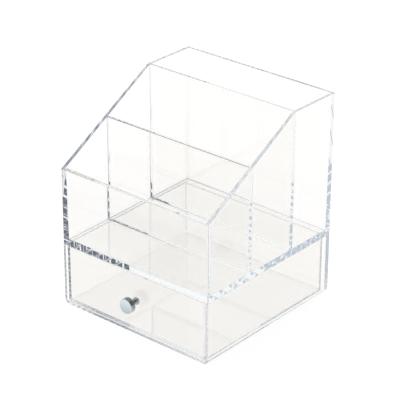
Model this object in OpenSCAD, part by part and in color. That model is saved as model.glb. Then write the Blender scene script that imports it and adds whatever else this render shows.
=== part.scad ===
// Clear desk organizer: a three-compartment stepped rack standing on a drawer housing,
// with one pull-out drawer and a small chrome knob.
// Origin: centre of the housing's underside. +X to the right, -Y to the front, +Z up. Millimetres.

/* [Overall] */
// Width of the rack and the housing
body_w = 160; // [100:1:260]
// Depth of the rack and the housing, front to back
body_d = 162; // [120:1:260]
// Height of the rack's back above the desk
total_h = 188; // [170:1:300]
// Height of the rack's front wall above the desk
front_h = 127; // [90:1:140]
// Height of the drawer housing, where the rack stands on it
housing_h = 57; // [40:1:76]
// Radius of the upright outer corners
corner_r = 1; // [0.5:0.5:6]

/* [Rack] */
// Thickness of the outer walls at the rack's full height
rack_wall_top = 2.8; // [1.8:0.1:4]
// Thickness that each outer wall gains down to the floor, from mould draft
rack_wall_draft = 1.4; // [0:0.1:2]
// Extra thickness of the front wall
front_wall_extra = 1.1; // [0:0.1:2]
// Thickness of the rack's floor
rack_floor = 4.6; // [2:0.1:8]
// Distance from the front face to the middle of the first divider
mid_divider_y = 55; // [36:1:60]
// Distance from the front face to the middle of the rear divider
rear_divider_y = 109.5; // [80:0.5:112]
// Thickness of a divider at the rack's full height
divider_top = 2.4; // [1.6:0.1:4]
// Thickness that a divider gains down to the floor, from mould draft
divider_draft = 1.6; // [0:0.1:2.4]

/* [Drawer housing] */
// Thickness of the housing's side and back walls
housing_wall = 2.8; // [2:0.1:4]
// Thickness of the housing's floor
housing_floor = 2.8; // [2:0.1:4]
// Outer radius of the housing's bottom edges
housing_edge_r = 5; // [4:0.5:8]
// Rounding of the outer front edges of the housing's sides
housing_front_r = 0.75; // [0.5:0.25:2]

/* [Drawer] */
// Thickness of the drawer's front
drawer_front = 2.8; // [2:0.1:4]
// Thickness of the drawer's sides and back
drawer_wall = 2.4; // [1.6:0.1:4]
// Thickness of the drawer's floor
drawer_floor = 2.4; // [1.6:0.1:4]
// Outer radius of the drawer's bottom edges and upright corners
drawer_edge_r = 2; // [1:0.5:3]
// Clearance between the drawer and the housing at each side
side_gap = 0.6; // [0.4:0.1:1.5]
// Clearance under the drawer
under_gap = 0.3; // [0.3:0.1:1]
// Clearance between the drawer's rim and the rack above it
rim_gap = 0.8; // [0.4:0.1:3]
// Clearance behind the closed drawer
back_gap = 3.8; // [1:0.1:12]
// How far the drawer's front sits behind the housing's front edges
front_inset = 0.4; // [0:0.1:2]

/* [Knob] */
// Diameter of the knob's head
knob_d = 13.6; // [10:0.1:20]
// Thickness of the knob's head
knob_head_t = 5.2; // [2:0.1:8]
// Diameter of the knob's neck
knob_neck_d = 5.4; // [5:0.1:9]
// Length of the knob's neck
knob_neck_l = 5.4; // [3:0.1:10]
// Rounding of the head's front rim
knob_rim_r = 0.6; // [0.2:0.1:1.5]
// Diameter of the fixing screw's shank
screw_d = 3.5; // [2.5:0.1:4.4]
// Depth of thread that each flank cuts into the knob
thread_bite = 0.25; // [0.1:0.05:0.4]
// Clearance around the shank in the drawer's front
screw_gap = 0.2; // [0.1:0.05:0.5]
// Diameter of the screw's head
screw_head_d = 6.6; // [5:0.1:9]
// Thickness of the screw's head
screw_head_t = 2.2; // [1.2:0.1:3]
// Width of the cross recess in the screw's head
recess_w = 0.9; // [0.6:0.1:1.2]
// Depth of the cross recess in the screw's head
recess_t = 1.1; // [0.5:0.1:1.1]

/* [Hidden] */
$fn = 64;

clear_plastic = [0.93, 0.95, 0.96, 0.35];
chrome = [0.78, 0.8, 0.82];
past = 1;                        // how far a cutting solid runs past the face it opens

front_y = -body_d / 2;
back_y = body_d / 2;
rack_floor_z = housing_h + rack_floor;
rack_h = total_h - housing_h;

// The sides slope from the front wall's top up to the rear divider
slope_end_y = rear_divider_y - divider_top / 2;
function slope_z(y) = front_h + (total_h - front_h) * y / slope_end_y;
mid_divider_z = slope_z(mid_divider_y - divider_top / 2);

// Every wall and divider thins evenly from its foot on the rack's floor, so a lower one stays thicker on top
function drafted(top, draft, z) = top + draft * (total_h - z) / (total_h - rack_floor_z);
wall_foot = rack_wall_top + rack_wall_draft;
front_wall_foot = wall_foot + front_wall_extra;
front_wall_top = drafted(rack_wall_top, rack_wall_draft, front_h) + front_wall_extra;
divider_foot = divider_top + divider_draft;
mid_divider_top = drafted(divider_top, divider_draft, mid_divider_z);

// Drawer outline
drawer_w = body_w - 2 * (housing_wall + side_gap);
drawer_d = body_d - front_inset - housing_wall - back_gap;
drawer_z = housing_floor + under_gap;
drawer_h = housing_h - rim_gap - drawer_z;
drawer_y = front_y + front_inset;
housing_inner_r = housing_edge_r - housing_wall;
knob_z = drawer_z + drawer_h / 2;

// Turns a drawing of (depth from the front face, height) into a solid across the full width
module across(w) {
    translate([-w / 2, front_y, 0]) rotate([90, 0, 90]) linear_extrude(w) children();
}

// Turns a drawing of (width, height) into a solid that runs from y0 for a length d
module along(y0, d) {
    translate([0, y0 + d, 0]) rotate([90, 0, 0]) linear_extrude(d) children();
}

// A rectangle from (x0, y0) to (x1, y1) whose four corners have their own radii,
// in the order low-left, low-right, high-right, high-left
module rounded_rect(x0, y0, x1, y1, radii) {
    corners = [[x0, y0], [x1, y0], [x1, y1], [x0, y1]];
    inward = [[1, 1], [-1, 1], [-1, -1], [1, -1]];
    difference() {
        translate([x0, y0]) square([x1 - x0, y1 - y0]);
        for (i = [0:3]) if (radii[i] > 0) corner_waste(corners[i], inward[i], radii[i]);
    }
}

// The waste outside a quarter circle of radius r at a corner, s pointing into the shape
module corner_waste(corner, s, r) {
    translate(corner) mirror([s[0] < 0 ? 1 : 0, 0]) mirror([0, s[1] < 0 ? 1 : 0])
        difference() {
            translate([-past, -past]) square(r + past);
            translate([r, r]) circle(r);
        }
}

// Outer form of the rack: upright, with rounded corners, cut to the stepped side profile
module rack_outside() {
    intersection() {
        translate([0, 0, housing_h]) linear_extrude(rack_h)
            rounded_rect(-body_w / 2, front_y, body_w / 2, back_y, [1, 1, 1, 1] * corner_r);
        across(body_w) polygon([
            [0, housing_h], [body_d, housing_h], [body_d, total_h],
            [slope_end_y, total_h], [0, front_h]
        ]);
    }
}

// Space between the two side walls, wider at the top than at the floor
module between_sides() {
    top = body_w / 2 - rack_wall_top;
    foot = body_w / 2 - wall_foot;
    lean = (top - foot) / (total_h - rack_floor_z);
    along(front_y - past, body_d + 2 * past) polygon([
        [-foot, rack_floor_z], [foot, rack_floor_z],
        [top + lean * past, total_h + past], [-top - lean * past, total_h + past]
    ]);
}

// One compartment's side view, between two walls that thin from the floor up to their top edges
module compartment(foot_y0, foot_y1, top_y0, top_y1, top_z0, top_z1) {
    polygon([
        [foot_y0, rack_floor_z], [foot_y1, rack_floor_z],
        [top_y1, top_z1], [top_y1, total_h + past],
        [top_y0, total_h + past], [top_y0, top_z0]
    ]);
}

// Side view of the free space over a wall whose top edge is at height z, up to depth y
module clear_above(y, z) {
    translate([-past, z]) square([y + past, total_h + past - z]);
}

module rack() {
    color(clear_plastic) difference() {
        rack_outside();
        intersection() {
            between_sides();
            across(body_w) union() {
                compartment(front_wall_foot, mid_divider_y - divider_foot / 2,
                    front_wall_top, mid_divider_y - mid_divider_top / 2, front_h, mid_divider_z);
                compartment(mid_divider_y + divider_foot / 2, rear_divider_y - divider_foot / 2,
                    mid_divider_y + mid_divider_top / 2, slope_end_y, mid_divider_z, total_h);
                compartment(rear_divider_y + divider_foot / 2, body_d - wall_foot,
                    rear_divider_y + divider_top / 2, body_d - rack_wall_top, total_h, total_h);
                clear_above(front_wall_top, front_h);
                clear_above(mid_divider_y + mid_divider_top / 2, mid_divider_z);
            }
        }
    }
}

// The housing is open at the front, where the drawer goes in, and at the top, where the rack closes it
module drawer_housing() {
    half = body_w / 2;
    inner = half - housing_wall;
    color(clear_plastic) difference() {
        intersection() {
            along(front_y, body_d)
                rounded_rect(-half, 0, half, housing_h, [housing_edge_r, housing_edge_r, 0, 0]);
            across(body_w) rounded_rect(0, 0, body_d, housing_h, [0, housing_edge_r, 0, 0]);
            linear_extrude(housing_h)
                rounded_rect(-half, front_y, half, back_y,
                    [housing_front_r, housing_front_r, corner_r, corner_r]);
        }
        intersection() {
            along(front_y - past, body_d - housing_wall + past)
                rounded_rect(-inner, housing_floor, inner, housing_h + past,
                    [housing_inner_r, housing_inner_r, 0, 0]);
            linear_extrude(housing_h + past)
                rounded_rect(-inner, front_y - past, inner, back_y - housing_wall,
                    [0, 0, housing_inner_r, housing_inner_r]);
        }
    }
}

// The drawer's outer form, or with a wall thickness its inside
module drawer_form(side, front, bottom, r, top) {
    half = drawer_w / 2 - side;
    y0 = drawer_y + front;
    y1 = drawer_y + drawer_d - side;
    z0 = drawer_z + bottom;
    intersection() {
        along(y0, y1 - y0) rounded_rect(-half, z0, half, top, [r, r, 0, 0]);
        translate([0, 0, z0]) linear_extrude(top - z0)
            rounded_rect(-half, y0, half, y1, [1, 1, 1, 1] * r);
    }
}

module drawer_tray() {
    inner_r = max(drawer_edge_r - drawer_wall, 0.5);
    color(clear_plastic) difference() {
        drawer_form(0, 0, 0, drawer_edge_r, drawer_z + drawer_h);
        drawer_form(drawer_wall, drawer_front, drawer_floor, inner_r, drawer_z + drawer_h + past);
        translate([0, drawer_y - past, knob_z]) rotate([-90, 0, 0])
            cylinder(h = drawer_front + 2 * past, d = screw_d + 2 * screw_gap);
    }
}

// Turns a solid that stands on z = 0 so that it stands out of the drawer's front, and -z goes inside
module on_drawer_front() {
    translate([0, drawer_y, knob_z]) rotate([90, 0, 0]) children();
}

module knob() {
    length = knob_neck_l + knob_head_t;
    color(chrome) on_drawer_front() difference() {
        rotate_extrude() difference() {
            union() {
                square([knob_neck_d / 2, length]);
                translate([0, knob_neck_l]) square([knob_d / 2, knob_head_t]);
            }
            corner_waste([knob_d / 2, length], [-1, -1], knob_rim_r);
        }
        translate([0, 0, -past]) cylinder(h = knob_neck_l + past, d = screw_d - 2 * thread_bite);
    }
}

module knob_screw() {
    head_z = -drawer_front - screw_head_t;
    color(chrome) on_drawer_front() difference() {
        union() {
            translate([0, 0, -drawer_front]) cylinder(h = drawer_front + knob_neck_l, d = screw_d);
            translate([0, 0, head_z]) rotate_extrude() difference() {
                square([screw_head_d / 2, screw_head_t]);
                corner_waste([screw_head_d / 2, 0], [-1, 1], screw_head_t / 3);
            }
        }
        for (a = [0, 90]) rotate(a) translate([-screw_head_d / 4, -recess_w / 2, head_z - past])
            cube([screw_head_d / 2, recess_w, recess_t + past]);
    }
}

rack();
drawer_housing();
drawer_tray();
knob();
knob_screw();
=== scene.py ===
"""Looks of a clear plastic desk organizer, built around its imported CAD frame.

Everything is in metres, in the frame of the CAD part: origin at the centre of the housing's underside,
+X to the right, -Y to the front where the drawer opens, +Z up.
"""

import math

import bmesh
import bpy
import numpy as np
from mathutils import Matrix, Vector


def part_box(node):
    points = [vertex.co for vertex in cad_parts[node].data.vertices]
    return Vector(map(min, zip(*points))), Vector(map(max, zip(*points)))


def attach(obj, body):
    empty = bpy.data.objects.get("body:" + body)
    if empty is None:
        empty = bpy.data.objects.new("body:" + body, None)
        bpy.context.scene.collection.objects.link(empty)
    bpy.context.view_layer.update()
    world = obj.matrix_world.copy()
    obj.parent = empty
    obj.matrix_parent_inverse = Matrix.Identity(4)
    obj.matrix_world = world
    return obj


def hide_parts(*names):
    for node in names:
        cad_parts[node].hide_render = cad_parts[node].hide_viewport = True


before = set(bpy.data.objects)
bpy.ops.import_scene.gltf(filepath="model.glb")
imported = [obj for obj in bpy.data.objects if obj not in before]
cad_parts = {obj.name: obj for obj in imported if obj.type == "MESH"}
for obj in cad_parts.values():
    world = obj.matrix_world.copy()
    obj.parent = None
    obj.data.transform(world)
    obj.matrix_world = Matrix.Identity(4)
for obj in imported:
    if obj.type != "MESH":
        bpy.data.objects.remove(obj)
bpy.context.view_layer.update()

bl_info = {
    "name": "Clear Desk Organizer",
    "version": (1, 0, 0),
    "blender": (4, 5, 0),
    "location": "View3D > Sidebar > Organizer",
    "description": "Clear moulded desk organizer with a drawer and a chrome knob",
    "category": "Object",
}

MM = 0.001

# Knob
HEAD = 5.2 * MM  # thickness of its head
RIM_FADE = (0.25 * MM, 0.55 * MM)  # behind the face, where the side's painted reflection takes over
NECK_FADE = 0.1 * MM  # each way from the head's back, where the neck's painted reflection takes over
ARC_POINTS = 8  # points along each rounding of the outline
FACE_POINTS = 10  # points from the face's rim to its middle

# Clear mouldings
SLOPE_RUN = 108.3 * MM  # the rack's sloping top edges: how far they run back, and how far they rise
SLOPE_RISE = 61.0 * MM
SLOPE_FACING = (0.96, 0.99)  # how nearly a face points the slopes' way, from none to all of their roughness
FRONT_FACING = (0.3, 0.8)  # how nearly a face points to the front, from none to all of the foot's roughness
FOOT_HEIGHTS = (8.0 * MM, 6.0 * MM)  # from none to all of the foot's roughness
POLISH = 0.002  # roughness of the polished skin
RUBBED = 0.012  # roughness that handling adds where it shows most
WAVINESS = 0.003 * MM  # depth of the mould's slow waves
MERGE_DISTANCE = 1e-6  # points closer than this are one
FLAT_ANGLE = math.radians(0.5)  # faces that turn less than this are joined
SHARP_ANGLE = math.radians(25)  # edges that turn more than this are rounded

# Studio. Each fade says how far a ray points to the right, up or to the sweep where the wall starts to
# show, and where it hides the walls before it.
LEFT_FADE = (-0.2, -0.7)
RIGHT_FADE = (0.2, 0.7)
CEILING_FADE = (0.75, 0.92)
HORIZON_FADE = (0.28, 0.14)
SWEEP_FADE = (0.45, 0.75)
SWEEP_RISE = math.radians(30)  # how far the sweep's middle stands above the table
FLOOR_REACH = 8.0  # from the middle of the floor to each side
FLOOR_GREY = 0.14  # how much of the studio's light the paper sends back
LAMP_SIZE = 1.0
LAMP_PLACE = (-0.2, 0.2, 1.6)
LAMP_AIM = (0.0, 0.0, 0.09)
SENSOR_WIDTH = 36.0
BOUNCES = 300  # light goes round many times inside the thick edges
TRANSPARENT_BOUNCES = 16


# ---------------------------------------------------------------- settings


class OrganizerMouldings(bpy.types.PropertyGroup):
    """Sizes and colours of the three clear mouldings."""

    edge_radius: bpy.props.FloatProperty(
        name="Edge radius", description="Rounding that the mould leaves on sharp edges",
        default=0.45 * MM, min=0.05 * MM, max=1.0 * MM, unit="LENGTH", precision=5)
    fillet: bpy.props.FloatProperty(
        name="Fillet", description="Rounding inside, where the housing's and the drawer's walls meet",
        default=0.45 * MM, min=0.05 * MM, max=2.0 * MM, unit="LENGTH", precision=5)
    rack_fillet: bpy.props.FloatProperty(
        name="Rack fillet", description="Rounding inside, where the rack's walls and dividers meet",
        default=1.2 * MM, min=0.05 * MM, max=2.0 * MM, unit="LENGTH", precision=5)
    edge_steps: bpy.props.IntProperty(
        name="Edge steps", description="Strips across each rounded edge", default=4, min=1, max=6)
    air_gap: bpy.props.FloatProperty(
        name="Air gap", description="How far each skin draws in, so that touching mouldings keep air between",
        default=0.04 * MM, min=0.0, max=0.2 * MM, unit="LENGTH", precision=5)
    tint: bpy.props.FloatVectorProperty(
        name="Tint", description="Colour of light that has passed one wall", subtype="COLOR",
        size=3, min=0.0, max=1.0, default=(0.975, 0.970, 0.961))
    depth_tint: bpy.props.FloatVectorProperty(
        name="Depth tint", description="Colour that the plastic takes on over a long way", subtype="COLOR",
        size=3, min=0.0, max=1.0, default=(0.36, 0.44, 0.56))
    depth: bpy.props.FloatProperty(
        name="Depth density", description="How fast the depth tint comes, per metre",
        default=0.8, min=0.0, max=100.0)
    slope_roughness: bpy.props.FloatProperty(
        name="Slope roughness", description="How much less polished the sides' sloping edges are",
        default=0.2, min=0.0, max=1.0)
    foot_roughness: bpy.props.FloatProperty(
        name="Foot roughness", description="How much less polished the fronts are along their lowest edges",
        default=0.15, min=0.0, max=1.0)
    index: bpy.props.FloatProperty(
        name="Refractive index", description="Polystyrene is about 1.59, acrylic 1.49",
        default=1.49, min=1.3, max=1.7)


class OrganizerKnob(bpy.types.PropertyGroup):
    """Knob's plate colours, which are painted reflection and shade, the screw's own colour and the knob's
    facets.
    """

    # Painted reflection: the face is painted lighter at the top and darker at the bottom, standing in for the
    # room that the chrome mirrors.
    face_reflection_high: bpy.props.FloatVectorProperty(
        name="Face, high", description="Colour of the plate at the top of the knob's face", subtype="COLOR",
        size=3, min=0.0, max=1.0, default=(0.70, 0.75, 0.78))
    face_reflection_low: bpy.props.FloatVectorProperty(
        name="Face, low", description="Colour of the plate at the bottom of the knob's face", subtype="COLOR",
        size=3, min=0.0, max=1.0, default=(0.45, 0.55, 0.60))
    # Painted reflection and shade: the head's side is painted dark at the top and light at the bottom.
    side_reflection_high: bpy.props.FloatVectorProperty(
        name="Side, high", description="Colour of the plate at the top of the head's side", subtype="COLOR",
        size=3, min=0.0, max=1.0, default=(0.24, 0.26, 0.27))
    side_reflection_low: bpy.props.FloatVectorProperty(
        name="Side, low", description="Colour of the plate at the bottom of the head's side", subtype="COLOR",
        size=3, min=0.0, max=1.0, default=(0.62, 0.66, 0.69))
    # Painted reflection: the neck's pale green-grey tone is painted to stand in for what the chrome mirrors
    # there.
    neck: bpy.props.FloatVectorProperty(
        name="Neck", description="Colour of the plate on the neck, which the polish hardly reaches",
        subtype="COLOR", size=3, min=0.0, max=1.0, default=(0.74, 0.82, 0.80))
    steel: bpy.props.FloatVectorProperty(
        name="Steel", description="Colour of the plated screw", subtype="COLOR",
        size=3, min=0.0, max=1.0, default=(0.50, 0.52, 0.54))
    turns: bpy.props.IntProperty(
        name="Turns", description="Facets round the knob", default=96, min=24, max=192)


class OrganizerStage(bpy.types.PropertyGroup):
    """Camera, floor and light."""

    azimuth: bpy.props.FloatProperty(
        name="Azimuth", description="Camera angle round from the front, towards the right side",
        default=math.radians(40.3), subtype="ANGLE", unit="ROTATION")
    elevation: bpy.props.FloatProperty(
        name="Elevation", description="Camera angle above the horizon",
        default=math.radians(26.24), subtype="ANGLE", unit="ROTATION")
    roll: bpy.props.FloatProperty(
        name="Roll", description="Camera turn about its own line of sight",
        default=math.radians(0.2), subtype="ANGLE", unit="ROTATION")
    distance: bpy.props.FloatProperty(
        name="Distance", description="From the camera to the point that it looks at",
        default=1.527, min=0.3, max=6.0, unit="LENGTH")
    target: bpy.props.FloatVectorProperty(
        name="Target", description="Point that the camera looks at", subtype="TRANSLATION",
        size=3, default=(0.0017, 0.0013, 0.0937))
    lens: bpy.props.FloatProperty(
        name="Lens", description="Focal length in millimetres on a 36 mm sensor",
        default=163.2, min=20.0, max=300.0)
    paper: bpy.props.FloatVectorProperty(
        name="Paper", description="Light that the white paper on the table gives off", subtype="COLOR",
        size=3, min=0.0, max=2.0, default=(0.953, 0.948, 0.940))
    sweep: bpy.props.FloatVectorProperty(
        name="Sweep", description="Colour of the white paper behind the organizer", subtype="COLOR",
        size=3, min=0.0, max=2.0, default=(1.08, 1.1, 1.1))
    horizon: bpy.props.FloatVectorProperty(
        name="Horizon", description="Colour of the room just above the table, all round", subtype="COLOR",
        size=3, min=0.0, max=2.0, default=(0.4, 0.42, 0.44))
    left_wall: bpy.props.FloatVectorProperty(
        name="Left wall", description="Colour of the wall to the left of the camera", subtype="COLOR",
        size=3, min=0.0, max=2.0, default=(0.56, 0.64, 0.73))
    right_wall: bpy.props.FloatVectorProperty(
        name="Right wall", description="Colour of the wall to the right of the camera", subtype="COLOR",
        size=3, min=0.0, max=2.0, default=(0.1, 0.12, 0.17))
    near_wall: bpy.props.FloatVectorProperty(
        name="Near wall", description="Colour of the wall behind the camera", subtype="COLOR",
        size=3, min=0.0, max=2.0, default=(0.1, 0.11, 0.13))
    ceiling: bpy.props.FloatVectorProperty(
        name="Ceiling", description="Colour of the ceiling", subtype="COLOR",
        size=3, min=0.0, max=2.0, default=(0.17, 0.25, 0.38))
    lamp_power: bpy.props.FloatProperty(
        name="Lamp", description="Power of the soft lamp overhead", default=1.0, min=0.0, unit="POWER")


SETTINGS = {
    "organizer_mouldings": OrganizerMouldings,
    "organizer_knob": OrganizerKnob,
    "organizer_stage": OrganizerStage,
}


# ---------------------------------------------------------------- shader maths


class Sock:
    """Wraps a node socket, so that shader maths reads as an expression."""

    def __init__(self, tree, socket):
        self.tree = tree
        self.socket = socket

    def _maths(self, operation, *values):
        return Shader(self.tree).node("ShaderNodeMath", {"operation": operation}, list(values))

    def __add__(self, other):
        return self._maths("ADD", self, other)

    def __mul__(self, other):
        return self._maths("MULTIPLY", self, other)

    __radd__ = __add__
    __rmul__ = __mul__


class Shader:
    """Adds nodes to one node tree."""

    def __init__(self, tree):
        self.tree = tree

    def node(self, kind, settings=None, values=None, out=0):
        """One node of this kind: its settings first, then its inputs by name or in order."""
        made = self.tree.nodes.new(kind)
        for key, value in (settings or {}).items():
            setattr(made, key, value)
        pairs = values.items() if isinstance(values, dict) else enumerate(values or [])
        for key, value in pairs:
            if isinstance(value, Sock):
                self.tree.links.new(value.socket, made.inputs[key])
            else:
                made.inputs[key].default_value = value
        return Sock(self.tree, made.outputs[out]) if len(made.outputs) else made

    def dot(self, vector, way):
        """Length of a vector along a unit direction."""
        return self.node("ShaderNodeVectorMath", {"operation": "DOT_PRODUCT"}, [vector, way], out=1)

    def smooth(self, value, start, stop):
        """0 before start, 1 past stop, and a smooth step between; stop may be the lower one."""
        return self.node("ShaderNodeMapRange", {"interpolation_type": "SMOOTHSTEP"}, {
            "Value": value, "From Min": start, "From Max": stop})

    def mix(self, factor, first, second):
        """A blend from the first colour to the second; each is a socket or three numbers."""
        first, second = (c if isinstance(c, Sock) else (*c, 1.0) for c in (first, second))
        return self.node("ShaderNodeMix", {"data_type": "RGBA"}, {0: factor, 6: first, 7: second}, out=2)


def new_material(name):
    """An empty node material and its shader helper."""
    material = bpy.data.materials.new(name)
    material.use_nodes = True
    material.node_tree.nodes.clear()
    return material, Shader(material.node_tree)


def finish_material(shader, **ends):
    """Joins a surface, and a volume if there is one, to the material's output."""
    shader.node("ShaderNodeOutputMaterial", values=ends)


def slope_normal():
    """Direction that the sloping top edges of the rack's sides face, square to their run and rise."""
    length = math.hypot(SLOPE_RUN, SLOPE_RISE)
    return (0.0, -SLOPE_RISE / length, SLOPE_RUN / length)


def clear_plastic(name, settings):
    """Clear moulding: marks of handling in its polish, and the mould's slow waviness.

    The sides' sloping edges and the foot of each front are less polished."""
    material, shader = new_material(name)
    place = shader.node("ShaderNodeTexCoord", out=3)
    haze = shader.node("ShaderNodeTexNoise", {}, {
        "Vector": place, "Scale": 60.0, "Detail": 6.0, "Roughness": 0.7})
    streak = shader.node("ShaderNodeMapping", {}, {"Vector": place, "Scale": (1.0, 1.0, 0.12)})
    rub = shader.node("ShaderNodeTexNoise", {}, {
        "Vector": streak, "Scale": 420.0, "Detail": 3.0, "Roughness": 0.6})
    rub_mask = shader.node("ShaderNodeMapRange", {}, {
        "Value": rub * haze, "From Min": 0.30, "From Max": 0.45, "To Min": 0.0, "To Max": 1.0})
    flow = shader.node("ShaderNodeTexNoise", {}, {"Vector": place, "Scale": 22.0, "Detail": 1.0})
    bump = shader.node("ShaderNodeBump", {}, {"Strength": 1.0, "Distance": WAVINESS, "Height": flow})
    normal = shader.node("ShaderNodeNewGeometry", out=1)
    slope = shader.smooth(shader.dot(normal, slope_normal()), *SLOPE_FACING) * settings.slope_roughness
    height = shader.node("ShaderNodeSeparateXYZ", {}, [place], out=2)
    front = shader.smooth(shader.dot(normal, (0.0, -1.0, 0.0)), *FRONT_FACING)
    foot = shader.smooth(height, *FOOT_HEIGHTS) * front * settings.foot_roughness
    surface = shader.node("ShaderNodeBsdfPrincipled", {}, {
        "Base Color": (*settings.tint, 1.0),
        "Roughness": rub_mask * RUBBED + POLISH + foot + slope,
        "IOR": settings.index,
        "Transmission Weight": 1.0,
        "Normal": bump,
    })
    depth = shader.node("ShaderNodeVolumeAbsorption", {}, {
        "Color": (*settings.depth_tint, 1.0), "Density": settings.depth})
    finish_material(shader, Surface=surface, Volume=depth)
    return material


def plated_metal(name, tone, roughness, grain):
    """Plated metal: polish marks vary the roughness, and a fine grain sits in the plate.

    tone(shader, place) gives its colour."""
    material, shader = new_material(name)
    place = shader.node("ShaderNodeTexCoord", out=3)
    cloud = shader.node("ShaderNodeTexNoise", {}, {"Vector": place, "Scale": 350.0, "Detail": 4.0})
    polish = shader.node("ShaderNodeTexNoise", {}, {"Vector": place, "Scale": 2600.0, "Detail": 3.0})
    bump = shader.node("ShaderNodeBump", {}, {"Strength": 1.0, "Distance": grain, "Height": polish})
    surface = shader.node("ShaderNodeBsdfPrincipled", {}, {
        "Base Color": tone(shader, place),
        "Metallic": 1.0,
        "Roughness": cloud * 0.08 + roughness,
        "Normal": bump,
    })
    finish_material(shader, Surface=surface)
    return material


def knob_painted_reflection(settings, low, high):
    """Colour of the knob's plate, painted reflection and shade: light on the face, darker round the side and
    faintly green on the neck.

    The face and the side each run from their low to their high colour up the knob, the side takes over
    across the front rim, and the neck takes over behind the head."""
    def tone(shader, place):
        depth = shader.node("ShaderNodeSeparateXYZ", {}, [place], out=1)
        height = shader.node("ShaderNodeSeparateXYZ", {}, [place], out=2)
        # Painted reflection and shade: the plate's colour changes up the knob, across the front rim and onto
        # the neck.
        up = shader.smooth(height, low.z, high.z)
        face = shader.mix(up, settings.face_reflection_low, settings.face_reflection_high)
        side = shader.mix(up, settings.side_reflection_low, settings.side_reflection_high)
        rim = shader.smooth(depth, *(low.y + fade for fade in RIM_FADE))
        back = low.y + HEAD
        neck = shader.smooth(depth, back - NECK_FADE, back + NECK_FADE)
        return shader.mix(neck, shader.mix(rim, face, side), settings.neck)
    return tone


def plain_tone(colour):
    """The same colour all over."""
    return lambda shader, place: (*colour, 1.0)


# ---------------------------------------------------------------- meshes


def new_object(name, mesh, material):
    """Links a mesh to the scene as an object at the origin, with one material."""
    piece = bpy.data.objects.new(name, mesh)
    bpy.context.scene.collection.objects.link(piece)
    mesh.materials.clear()
    mesh.materials.append(material)
    return piece


def softened_copy(node, name, material, settings, fillet):
    """Copies a CAD node as a moulding with soft edges.

    The copy's doubles are merged and its flat faces joined, and each point moves inward along its normal by
    the air gap. Every sharp edge then gets a round strip: of the edge radius where it points out, and of the
    fillet where two walls meet inside."""
    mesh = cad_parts[node].data.copy()
    mesh.name = name
    work = bmesh.new()
    work.from_mesh(mesh)
    bmesh.ops.remove_doubles(work, verts=work.verts, dist=MERGE_DISTANCE)
    bmesh.ops.dissolve_limit(work, angle_limit=FLAT_ANGLE, verts=work.verts, edges=work.edges)
    weight = work.edges.layers.float.new("bevel_weight_edge")
    widest = max(fillet, settings.edge_radius)
    for edge in work.edges:
        if edge.calc_face_angle(0.0) > SHARP_ANGLE:
            edge[weight] = (settings.edge_radius if edge.is_convex else fillet) / widest
    work.to_mesh(mesh)
    work.free()
    piece = new_object(name, mesh, material)
    mesh.shade_smooth()
    inset = piece.modifiers.new("Air gap", "DISPLACE")
    inset.strength = -settings.air_gap
    inset.mid_level = 0.0
    bevel = piece.modifiers.new("Soft edges", "BEVEL")
    bevel.width = widest
    bevel.segments = settings.edge_steps
    bevel.limit_method = "WEIGHT"
    bevel.harden_normals = False
    bevel.miter_outer = "MITER_ARC"
    flatten = piece.modifiers.new("Flat faces", "WEIGHTED_NORMAL")
    flatten.weight = 100
    flatten.keep_sharp = False
    return piece


def lathe(name, outline, turns, origin, material):
    """A turned piece with its axis along Y.

    outline is a row of (distance along the axis from the origin, towards -Y; radius) points, and the
    surface is x = radius * cos(a), z = radius * sin(a), y = -distance for a full turn of a. The first and
    last points lie on the axis and close the ends."""
    outline = np.asarray(outline, float)
    angle = np.linspace(0.0, 2.0 * np.pi, turns, endpoint=False)
    ring = outline[1:-1]
    x = ring[:, 1:2] * np.cos(angle)
    z = ring[:, 1:2] * np.sin(angle)
    y = np.repeat(-ring[:, 0:1], turns, axis=1)
    points = np.stack([x, y, z], axis=-1).reshape(-1, 3)
    ends = np.array([[0.0, -outline[0, 0], 0.0], [0.0, -outline[-1, 0], 0.0]])
    points = np.concatenate([points, ends]) + np.asarray(origin, float)
    row, col = np.meshgrid(np.arange(len(ring) - 1), np.arange(turns), indexing="ij")
    here, across = row * turns + col, row * turns + (col + 1) % turns
    quads = np.stack([here, across, across + turns, here + turns], axis=-1).reshape(-1, 4)
    first, last = len(points) - 2, len(points) - 1
    edge = np.arange(turns)
    step = (edge + 1) % turns
    top = (len(ring) - 1) * turns
    start_fan = np.stack([np.full(turns, first), step, edge], axis=-1)
    end_fan = np.stack([np.full(turns, last), top + edge, top + step], axis=-1)
    mesh = bpy.data.meshes.new(name)
    mesh.from_pydata(points.tolist(), [], quads.tolist() + start_fan.tolist() + end_fan.tolist())
    mesh.update()
    mesh.shade_smooth()
    return new_object(name, mesh, material)


# ---------------------------------------------------------------- operators


class MouldingOperator:
    """What the three operators for clear mouldings share."""

    bl_options = {"REGISTER", "UNDO"}
    node = ""
    body = ""
    slot = ""
    fillet = "fillet"

    def execute(self, context):
        settings = context.scene.organizer_mouldings
        material = clear_plastic(f"{self.node}_plastic", settings)
        fillet = getattr(settings, self.fillet)
        piece = softened_copy(self.node, f"{self.node}_moulding", material, settings, fillet)
        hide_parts(self.node)
        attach(piece, self.body)
        return {"FINISHED"}


class ORGANIZER_OT_rack(MouldingOperator, bpy.types.Operator):
    """Make the three-compartment rack"""

    bl_idname = "organizer.rack"
    bl_label = "Rack"
    node = "rack"
    fillet = "rack_fillet"
    body = "organizer"
    slot = "clear_rack"


class ORGANIZER_OT_housing(MouldingOperator, bpy.types.Operator):
    """Make the drawer's housing"""

    bl_idname = "organizer.housing"
    bl_label = "Drawer housing"
    node = "drawer_housing"
    body = "organizer"
    slot = "clear_housing"


class ORGANIZER_OT_drawer(MouldingOperator, bpy.types.Operator):
    """Make the drawer"""

    bl_idname = "organizer.drawer"
    bl_label = "Drawer"
    node = "drawer_tray"
    body = "drawer"
    slot = "clear_drawer"


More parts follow.
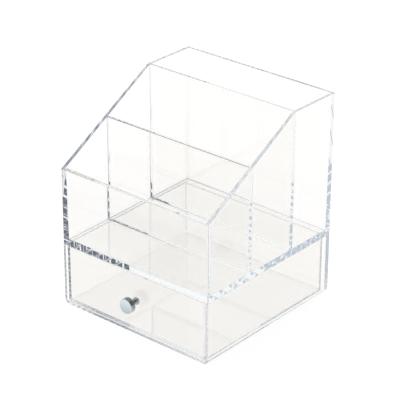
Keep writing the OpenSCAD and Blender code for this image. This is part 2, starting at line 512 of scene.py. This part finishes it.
class ORGANIZER_OT_knob(bpy.types.Operator):
    """Make the chrome knob and finish its screw"""

    bl_idname = "organizer.knob"
    bl_label = "Knob and screw"
    bl_options = {"REGISTER", "UNDO"}

    def execute(self, context):
        settings = context.scene.organizer_knob
        low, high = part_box("knob")
        # The knob's chrome carries painted reflection and shade in its colour.
        chrome = plated_metal("knob_plate", knob_painted_reflection(settings, low, high), roughness=0.06, grain=0.004 * MM)
        steel = plated_metal("screw_plate", plain_tone(settings.steel), roughness=0.22, grain=0.01 * MM)
        centre = (low + high) / 2
        base = (centre.x, high.y, centre.z)
        outline = knob_outline(high.y - low.y, (high.x - low.x) / 2)
        piece = lathe("knob_turned", outline, settings.turns, base, chrome)
        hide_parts("knob")
        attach(piece, "drawer")
        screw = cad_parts["knob_screw"]
        screw.data.materials.clear()
        screw.data.materials.append(steel)
        return {"FINISHED"}


def arc(distance, radius, rounding, start, stop):
    """Outline points along part of a circle: at each angle a from start to stop, in degrees, the row
    distance + rounding * cos(a), radius + rounding * sin(a)."""
    angle = np.radians(np.linspace(start, stop, ARC_POINTS))
    return np.stack([distance + rounding * np.cos(angle), radius + rounding * np.sin(angle)], axis=-1)


def knob_outline(length, radius):
    """Side outline of the knob from the drawer's front outwards.

    A straight neck that flares into the head, and the head with a rounded back edge, a rounded front rim and
    a slightly domed face, which drops back with the square of the distance from its middle."""
    neck = 2.7 * MM
    flare = 0.8 * MM
    back_round = 0.5 * MM
    rim = 0.6 * MM
    dome = 0.15 * MM
    shoulder = length - HEAD
    flat = radius - rim
    across = np.linspace(flat, 0.0, FACE_POINTS)[1:]
    return np.concatenate([
        [(0.0, 0.0), (0.0, neck)],
        arc(shoulder - flare, neck + flare, flare, -90, 0),
        arc(shoulder + back_round, radius - back_round, back_round, 180, 90),
        arc(length - dome - rim, flat, rim, 90, 0),
        np.stack([length - dome * (across / flat) ** 2, across], axis=-1),
    ])


class ORGANIZER_OT_stage(bpy.types.Operator):
    """Set the pale floor, the studio light and the camera"""

    bl_idname = "organizer.stage"
    bl_label = "Stage"
    bl_options = {"REGISTER", "UNDO"}

    def execute(self, context):
        settings = context.scene.organizer_stage
        make_floor(settings)
        make_world(context.scene, settings)
        make_lamp(settings)
        make_camera(context.scene, settings)
        context.scene.view_settings.view_transform = "Standard"
        cycles = context.scene.cycles
        cycles.max_bounces = BOUNCES
        cycles.glossy_bounces = BOUNCES
        cycles.transmission_bounces = BOUNCES
        cycles.transparent_max_bounces = TRANSPARENT_BOUNCES
        return {"FINISHED"}


def make_floor(settings):
    """A wide table top of softly lit white paper."""
    corners = np.array([(-1, -1, 0), (1, -1, 0), (1, 1, 0), (-1, 1, 0)]) * FLOOR_REACH
    mesh = bpy.data.meshes.new("floor")
    mesh.from_pydata(corners.tolist(), [], [(0, 1, 2, 3)])
    material, shader = new_material("floor_paper")
    place = shader.node("ShaderNodeTexCoord", out=3)
    mottle = shader.node("ShaderNodeTexNoise", {}, {"Vector": place, "Scale": 40.0, "Detail": 3.0})
    surface = shader.node("ShaderNodeBsdfPrincipled", {}, {
        "Base Color": (FLOOR_GREY, FLOOR_GREY, FLOOR_GREY, 1.0),
        "Roughness": mottle * 0.1 + 0.6,
        "Emission Color": (*settings.paper, 1.0),
        "Emission Strength": 1.0,
    })
    finish_material(shader, Surface=surface)
    new_object("floor", mesh, material)


def make_world(scene, settings):
    """A studio with a white sweep across the table from the camera and its own tone for each wall.

    Each wall fades in with the way a ray points: up for the ceiling, to the camera's right or left for the
    side walls, low for the horizon, and across the table for the sweep."""
    world = bpy.data.worlds.new("studio")
    world.use_nodes = True
    world.node_tree.nodes.clear()
    shader = Shader(world.node_tree)
    way = shader.node("ShaderNodeTexCoord")
    facing = shader.dot(way, sweep_centre(settings))
    sideways = shader.dot(way, rightward(settings))
    height = shader.node("ShaderNodeSeparateXYZ", {}, [way], out=2)
    colour = shader.mix(shader.smooth(sideways, *LEFT_FADE), settings.near_wall, settings.left_wall)
    colour = shader.mix(shader.smooth(sideways, *RIGHT_FADE), colour, settings.right_wall)
    colour = shader.mix(shader.smooth(height, *CEILING_FADE), colour, settings.ceiling)
    colour = shader.mix(shader.smooth(height, *HORIZON_FADE), colour, settings.horizon)
    colour = shader.mix(shader.smooth(facing, *SWEEP_FADE), colour, settings.sweep)
    sky = shader.node("ShaderNodeBackground", {}, {"Color": colour, "Strength": 1.0})
    shader.node("ShaderNodeOutputWorld", values={"Surface": sky})
    scene.world = world


def rightward(settings):
    """Direction to the camera's right, along the table."""
    return Vector((math.cos(settings.azimuth), math.sin(settings.azimuth), 0.0))


def sweep_centre(settings):
    """Direction to the middle of the white sweep, across the table from the camera."""
    return Vector((
        -math.sin(settings.azimuth) * math.cos(SWEEP_RISE),
        math.cos(settings.azimuth) * math.cos(SWEEP_RISE),
        math.sin(SWEEP_RISE)))


def make_lamp(settings):
    """One large soft lamp overhead, aimed at the middle of the organizer."""
    light = bpy.data.lights.new("overhead", "AREA")
    light.size = LAMP_SIZE
    light.energy = settings.lamp_power
    lamp = bpy.data.objects.new("overhead", light)
    lamp.location = LAMP_PLACE
    aim = Vector(LAMP_AIM) - lamp.location
    lamp.rotation_euler = aim.to_track_quat("-Z", "Y").to_euler()
    bpy.context.scene.collection.objects.link(lamp)


def make_camera(scene, settings):
    """The camera circles the target at its azimuth and elevation, then rolls about its line of sight."""
    back = Vector((
        math.sin(settings.azimuth) * math.cos(settings.elevation),
        -math.cos(settings.azimuth) * math.cos(settings.elevation),
        math.sin(settings.elevation)))
    right = rightward(settings)
    turn = Matrix((right, back.cross(right), back)).transposed() @ Matrix.Rotation(settings.roll, 3, "Z")
    place = Vector(settings.target) + back * settings.distance
    data = bpy.data.cameras.new("camera")
    data.lens = settings.lens
    data.sensor_width = SENSOR_WIDTH
    camera = bpy.data.objects.new("camera", data)
    camera.matrix_world = Matrix.Translation(place) @ turn.to_4x4()
    scene.collection.objects.link(camera)
    scene.camera = camera


OPERATORS = (
    ORGANIZER_OT_stage,
    ORGANIZER_OT_rack,
    ORGANIZER_OT_housing,
    ORGANIZER_OT_drawer,
    ORGANIZER_OT_knob,
)


class ORGANIZER_PT_sidebar(bpy.types.Panel):
    """Lists the organizer's pieces and their settings"""

    bl_idname = "ORGANIZER_PT_sidebar"
    bl_label = "Desk Organizer"
    bl_space_type = "VIEW_3D"
    bl_region_type = "UI"
    bl_category = "Organizer"

    def draw(self, context):
        for operator in OPERATORS:
            self.layout.operator(operator.bl_idname)
        for attribute, group in SETTINGS.items():
            box = self.layout.box()
            for name in group.__annotations__:
                box.prop(getattr(context.scene, attribute), name)


def register():
    """Registers the settings, the operators and the panel."""
    for attribute, group in SETTINGS.items():
        bpy.utils.register_class(group)
        setattr(bpy.types.Scene, attribute, bpy.props.PointerProperty(type=group))
    for cls in (*OPERATORS, ORGANIZER_PT_sidebar):
        bpy.utils.register_class(cls)


def unregister():
    """Takes the panel, the operators and the settings away again."""
    for cls in (ORGANIZER_PT_sidebar, *reversed(OPERATORS)):
        bpy.utils.unregister_class(cls)
    for attribute, group in SETTINGS.items():
        delattr(bpy.types.Scene, attribute)
        bpy.utils.unregister_class(group)


def main():
    """Makes the whole organizer."""
    register()
    for operator in OPERATORS:
        group, name = operator.bl_idname.split(".")
        getattr(getattr(bpy.ops, group), name)()


if __name__ == "__main__":
    main()
